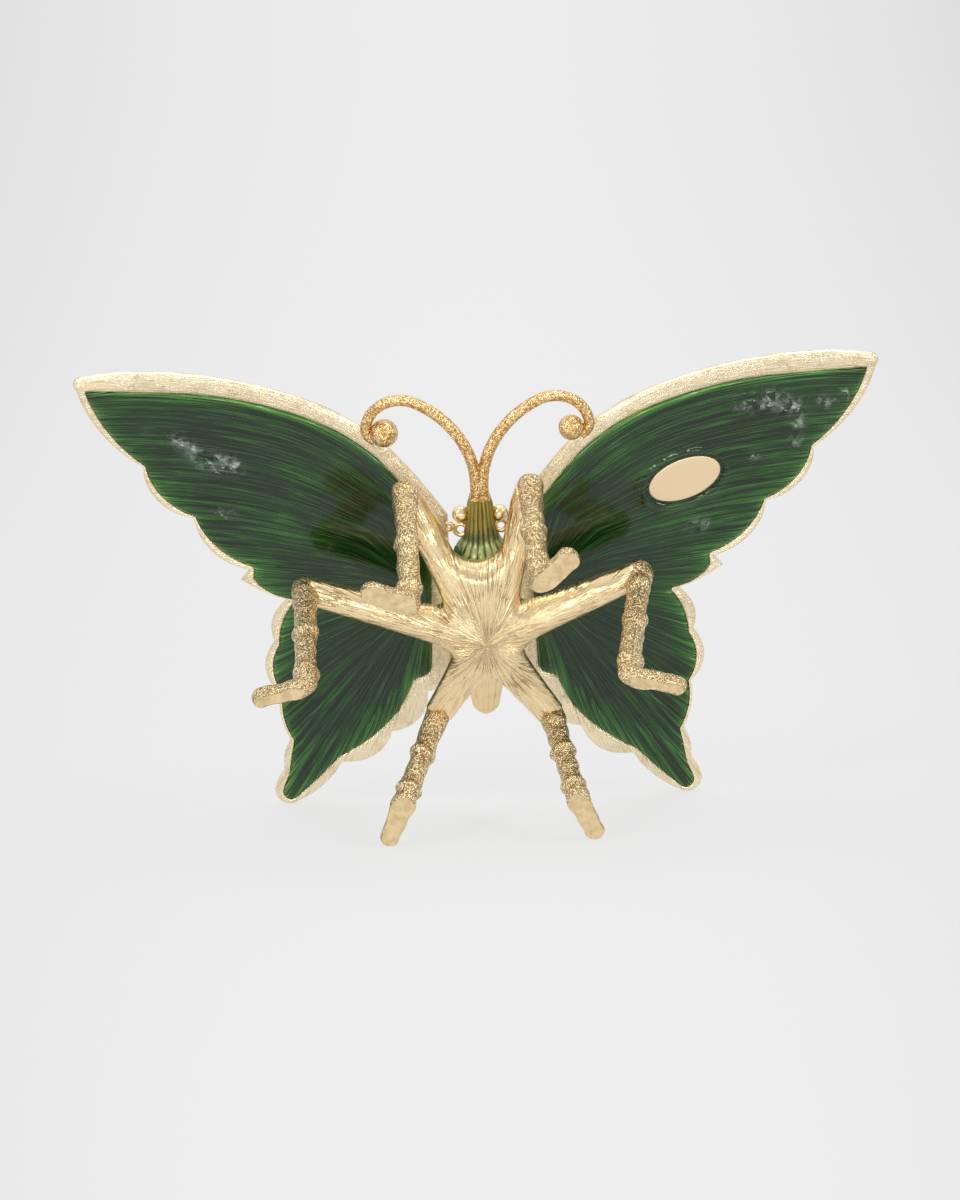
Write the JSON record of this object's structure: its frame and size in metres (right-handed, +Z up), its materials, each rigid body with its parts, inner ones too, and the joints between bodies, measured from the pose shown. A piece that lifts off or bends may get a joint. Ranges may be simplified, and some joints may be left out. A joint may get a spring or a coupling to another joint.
{
  "type": "butterfly ornament",
  "caption": "Gilded metal butterfly figurine with green enamelled wings, curled antennae and jointless legs on flat soles, standing on its wing tails and rear toes.",
  "frame": {"origin": "on the surface that the ornament stands on, under the middle of the whole", "axes": "+Z up, +X towards the right wing as seen when looking at the belly, the belly faces -Y, as in the picture"},
  "size_m": [0.1388, 0.0554, 0.0827],
  "materials": {
    "gilded_metal": "brushed and polished gilding",
    "green_enamel": "glossy fired enamel",
    "green_crystal": "clear cut crystal"
  },
  "bodies": {
    "root": {"back_crystals": "green_crystal", "belly_frame": "gilded_metal", "body": "gilded_metal", "collar_crystals": "green_crystal", "eye_crystals": "green_crystal", "front_left_leg": "gilded_metal", "front_right_leg": "gilded_metal", "head": "gilded_metal", "left_antenna": "gilded_metal", "left_eye": "gilded_metal", "left_forewing_enamel": "green_enamel", "left_hindwing_enamel": "green_enamel", "left_underside_enamel": "green_enamel", "left_wing": "gilded_metal", "left_wing_crystals": "green_crystal", "middle_left_leg": "gilded_metal", "middle_right_leg": "gilded_metal", "oval_plate": "gilded_metal", "rear_left_leg": "gilded_metal", "rear_right_leg": "gilded_metal", "right_antenna": "gilded_metal", "right_eye": "gilded_metal", "right_forewing_enamel": "green_enamel", "right_hindwing_enamel": "green_enamel", "right_underside_enamel": "green_enamel", "right_wing": "gilded_metal", "right_wing_crystals": "green_crystal"}
  },
  "joints": []
}
